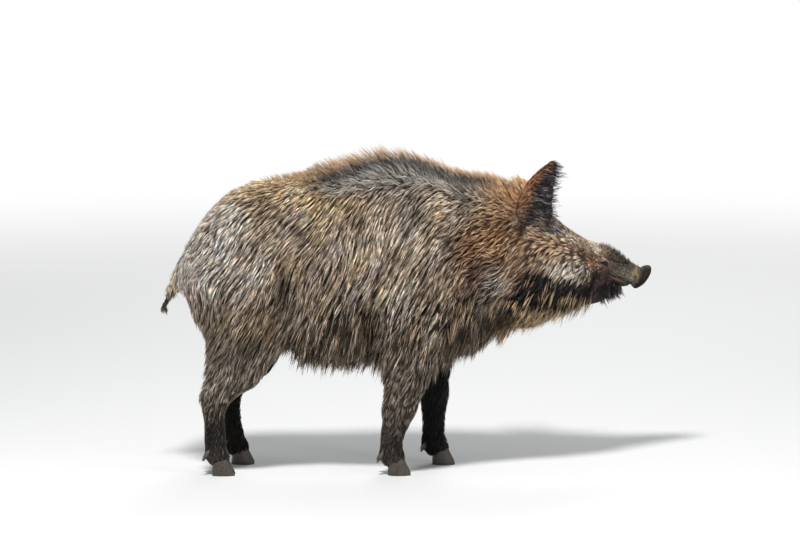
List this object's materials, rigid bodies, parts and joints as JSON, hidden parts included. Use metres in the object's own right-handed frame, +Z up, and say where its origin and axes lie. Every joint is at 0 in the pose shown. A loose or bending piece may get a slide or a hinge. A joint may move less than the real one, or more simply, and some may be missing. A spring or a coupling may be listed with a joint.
{
  "type": "wild boar",
  "caption": "Life-size still wild boar sow standing in profile, head stretched forward and turned aside, coarse clumped coat and bristling mane.",
  "frame": {"origin": "floor level, under the middle of the animal's bounding box", "axes": "+X forward to the snout, +Y to the animal's left, +Z up; the head is turned to +Y"},
  "size_m": [1.2346, 0.3996, 0.8117],
  "materials": {
    "body_coat": "coarse wet bristle, grey-brown with tan tips and dark roots",
    "face_coat": "short dense bristle, paler on the forehead and cheek",
    "ear_coat": "thin skin with short brown hair and long dark hair inside",
    "leg_coat": "short dark bristle, wet",
    "nose_pad": "bare moist skin, dark brown",
    "hoof_horn": "dark horn, worn and muddy",
    "eye": "wet dark brown eye"
  },
  "bodies": {
    "root": {"trunk": "body_coat", "neck": "body_coat", "head": "face_coat", "lower_jaw": "face_coat", "snout_disc": "nose_pad", "eye_right": "eye", "eye_left": "eye", "ear_right": "ear_coat", "ear_left": "ear_coat", "tail": "body_coat", "leg_front_right": "leg_coat", "hoof_front_right_inner": "hoof_horn", "hoof_front_right_outer": "hoof_horn", "dewclaw_front_right_inner": "hoof_horn", "dewclaw_front_right_outer": "hoof_horn", "leg_front_left": "leg_coat", "hoof_front_left_inner": "hoof_horn", "hoof_front_left_outer": "hoof_horn", "dewclaw_front_left_inner": "hoof_horn", "dewclaw_front_left_outer": "hoof_horn", "leg_hind_right": "leg_coat", "hoof_hind_right_inner": "hoof_horn", "hoof_hind_right_outer": "hoof_horn", "dewclaw_hind_right_inner": "hoof_horn", "dewclaw_hind_right_outer": "hoof_horn", "leg_hind_left": "leg_coat", "hoof_hind_left_inner": "hoof_horn", "hoof_hind_left_outer": "hoof_horn", "dewclaw_hind_left_inner": "hoof_horn", "dewclaw_hind_left_outer": "hoof_horn"}
  },
  "joints": []
}
